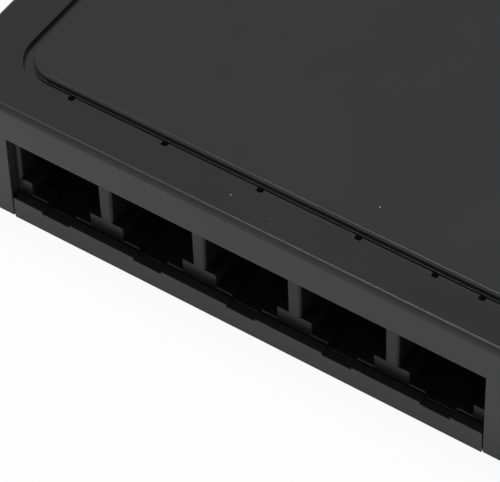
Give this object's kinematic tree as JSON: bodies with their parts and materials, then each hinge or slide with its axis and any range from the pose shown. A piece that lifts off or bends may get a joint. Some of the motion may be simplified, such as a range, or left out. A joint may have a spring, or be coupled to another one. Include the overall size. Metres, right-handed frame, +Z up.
{
  "type": "desktop network switch",
  "caption": "Small desktop network switch: charcoal plastic case with a raised top panel, a row of network sockets in front with spring contacts, and a power inlet at the back.",
  "frame": {"origin": "bottom centre of the case, on the surface that the rubber feet stand on", "axes": "+X to the right along the row of sockets, +Y from the sockets to the back, +Z up"},
  "size_m": [0.09, 0.072, 0.0226],
  "materials": {
    "case_plastic": "fine texture, charcoal",
    "panel_plastic": "fine texture, charcoal",
    "socket_plastic": "moulded black",
    "contact_metal": "gold flash",
    "board_laminate": "satin solder mask",
    "light_plastic": "clear moulded",
    "light_chip": "clear lens",
    "chip_plastic": "moulded epoxy",
    "can_metal": "satin can",
    "ferrite": "sintered grey",
    "chip_ceramic": "fired tan",
    "inlet_metal": "tinned",
    "foot_rubber": "matte",
    "screw_steel": "zinc plated"
  },
  "bodies": {
    "switch": {"top_cover": "case_plastic", "bottom_shell": "case_plastic", "top_panel": "panel_plastic", "port_housing": "socket_plastic", "inlet_body": "socket_plastic", "contact_carrier_1": "socket_plastic", "contact_carrier_2": "socket_plastic", "contact_carrier_3": "socket_plastic", "contact_carrier_4": "socket_plastic", "contact_carrier_5": "socket_plastic", "contact_leads_1": "contact_metal", "contact_leads_2": "contact_metal", "contact_leads_3": "contact_metal", "contact_leads_4": "contact_metal", "contact_leads_5": "contact_metal", "circuit_board": "board_laminate", "light_guide": "light_plastic", "status_lights": "light_chip", "transformer_1": "chip_plastic", "transformer_2": "chip_plastic", "transformer_3": "chip_plastic", "transformer_4": "chip_plastic", "transformer_5": "chip_plastic", "switch_chip": "chip_plastic", "memory_chip": "chip_plastic", "regulator_chip": "chip_plastic", "crystal": "can_metal", "capacitor_1": "can_metal", "capacitor_2": "can_metal", "power_inductor": "ferrite", "chip_passives": "chip_ceramic", "inlet_pin": "inlet_metal", "inlet_terminals": "inlet_metal", "foot_front_left": "foot_rubber", "foot_front_right": "foot_rubber", "foot_rear_left": "foot_rubber", "foot_rear_right": "foot_rubber", "case_screws": "screw_steel", "board_screws": "screw_steel"},
    "contacts_1": {"port_contacts_1": "contact_metal"},
    "contacts_2": {"port_contacts_2": "contact_metal"},
    "contacts_3": {"port_contacts_3": "contact_metal"},
    "contacts_4": {"port_contacts_4": "contact_metal"},
    "contacts_5": {"port_contacts_5": "contact_metal"},
    "inlet_leaf": {"inlet_spring": "inlet_metal"}
  },
  "joints": [
    {"name": "contact_lift_1", "type": "hinge", "parent": "switch", "child": "contacts_1", "pos_m": [-0.02794, -0.03145, 0.01575], "axis": [1, 0, 0], "range_deg": [0, 14], "stiffness_Nm_per_rad": 0.16},
    {"name": "contact_lift_2", "type": "hinge", "parent": "switch", "child": "contacts_2", "pos_m": [-0.01397, -0.03145, 0.01575], "axis": [1, 0, 0], "range_deg": [0, 14], "stiffness_Nm_per_rad": 0.16},
    {"name": "contact_lift_3", "type": "hinge", "parent": "switch", "child": "contacts_3", "pos_m": [0, -0.03145, 0.01575], "axis": [1, 0, 0], "range_deg": [0, 14], "stiffness_Nm_per_rad": 0.16},
    {"name": "contact_lift_4", "type": "hinge", "parent": "switch", "child": "contacts_4", "pos_m": [0.01397, -0.03145, 0.01575], "axis": [1, 0, 0], "range_deg": [0, 14], "stiffness_Nm_per_rad": 0.16},
    {"name": "contact_lift_5", "type": "hinge", "parent": "switch", "child": "contacts_5", "pos_m": [0.02794, -0.03145, 0.01575], "axis": [1, 0, 0], "range_deg": [0, 14], "stiffness_Nm_per_rad": 0.16},
    {"name": "inlet_leaf_press", "type": "hinge", "parent": "switch", "child": "inlet_leaf", "pos_m": [0.022, 0.0259, 0.0076], "axis": [1, 0, 0], "range_deg": [-7, 0], "stiffness_Nm_per_rad": 0.15}
  ]
}
